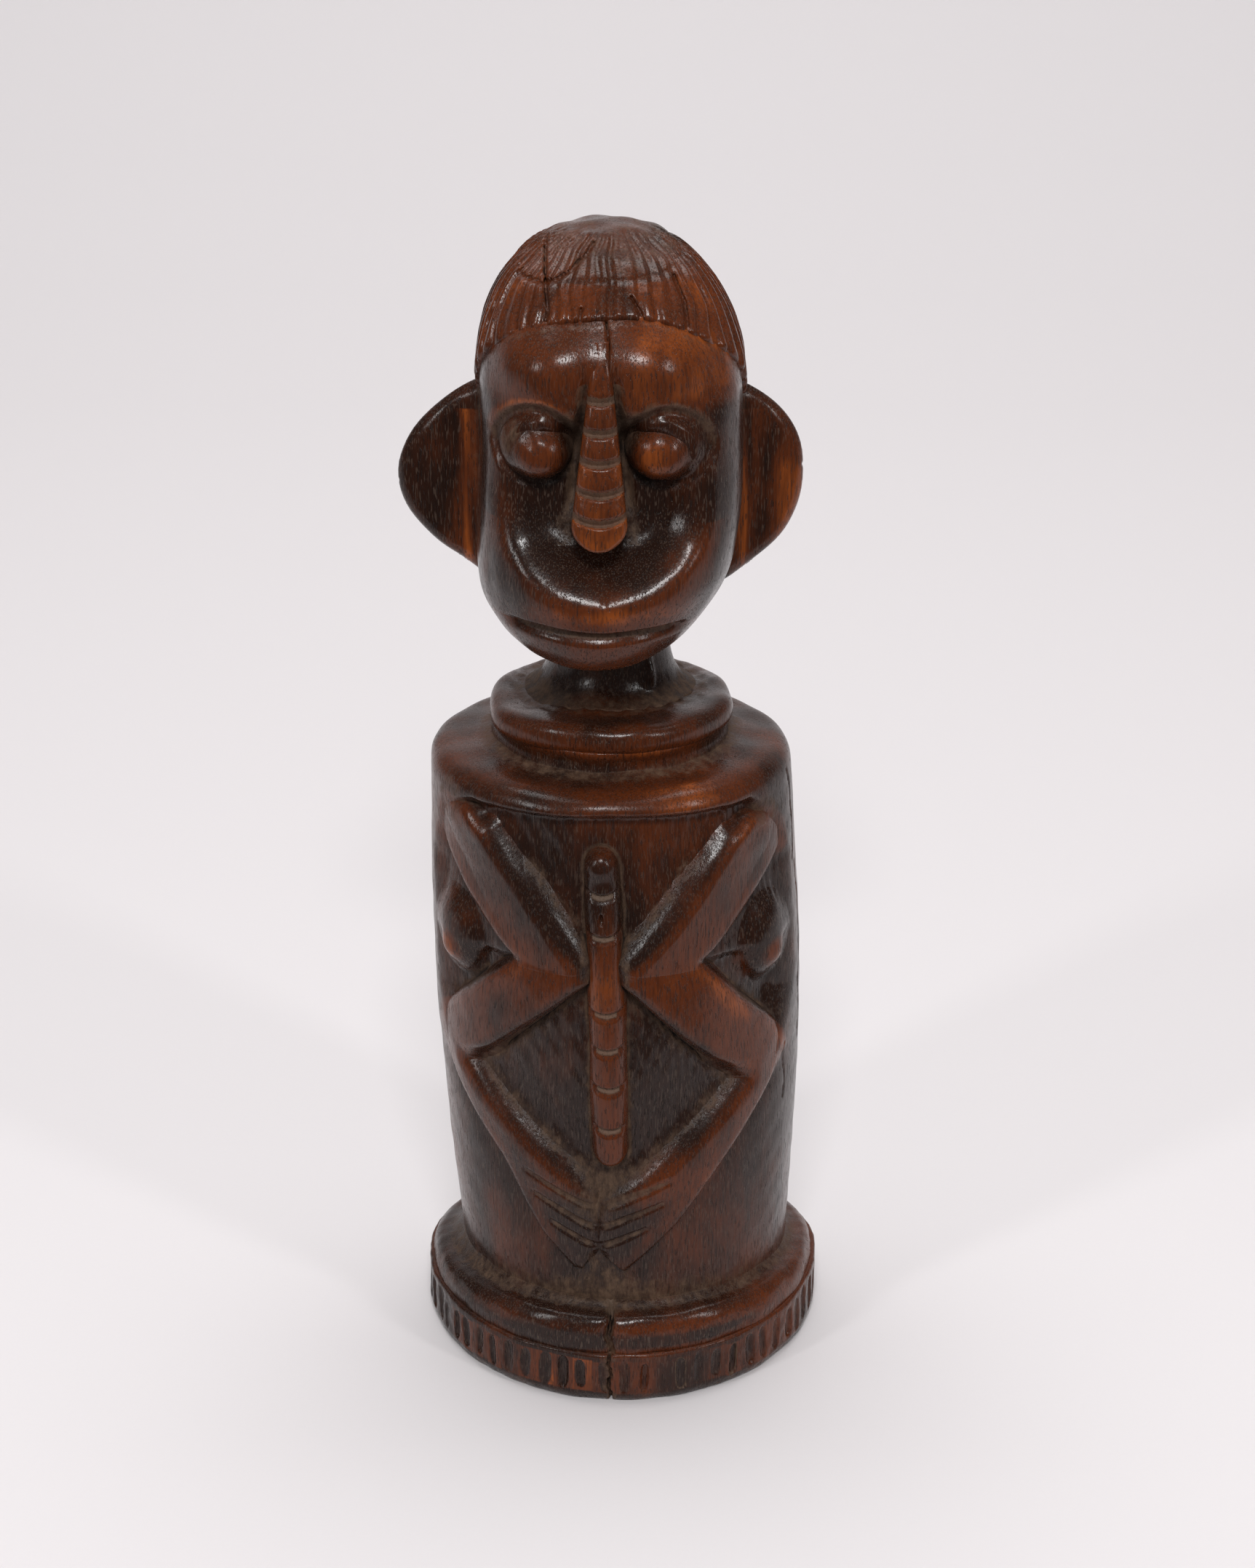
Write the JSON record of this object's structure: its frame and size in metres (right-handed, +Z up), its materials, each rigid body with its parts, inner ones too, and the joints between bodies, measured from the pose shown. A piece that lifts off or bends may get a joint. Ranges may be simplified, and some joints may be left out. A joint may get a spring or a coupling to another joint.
{
  "type": "carved fertility doll",
  "caption": "Free-standing carved wooden figure: a round drum body with limbs in relief on a notched foot ring, a stepped collar, a thin neck and a large head with wing-shaped ears.",
  "frame": {"origin": "centre of the flat round underside of the foot ring, on the surface that the figure stands on", "axes": "+Z up through the head, the carved face and the relief look along -Y, and +X is to the right as seen from the front"},
  "size_m": [0.1179, 0.1045, 0.3309],
  "materials": {
    "dark_wood": "satin",
    "dusty_wood": "matt",
    "worn_wood": "satin"
  },
  "bodies": {
    "root": {"base_band": "worn_wood", "base_ridge": "dark_wood", "torso": "dusty_wood", "collar_tier": "dark_wood", "collar_flange": "dark_wood", "neck": "dusty_wood", "upper_limb_left": "worn_wood", "middle_limb_left": "worn_wood", "lower_limb_left": "worn_wood", "hand_left": "worn_wood", "upper_limb_right": "worn_wood", "middle_limb_right": "worn_wood", "lower_limb_right": "worn_wood", "hand_right": "worn_wood", "belly_bar": "worn_wood", "breast_left": "dark_wood", "breast_right": "dark_wood", "head": "dark_wood", "lower_jaw": "worn_wood", "hair_cap": "dark_wood", "nose_bar": "worn_wood", "eye_left": "worn_wood", "eye_right": "worn_wood", "ear_left": "dark_wood", "ear_right": "dark_wood"}
  },
  "joints": []
}
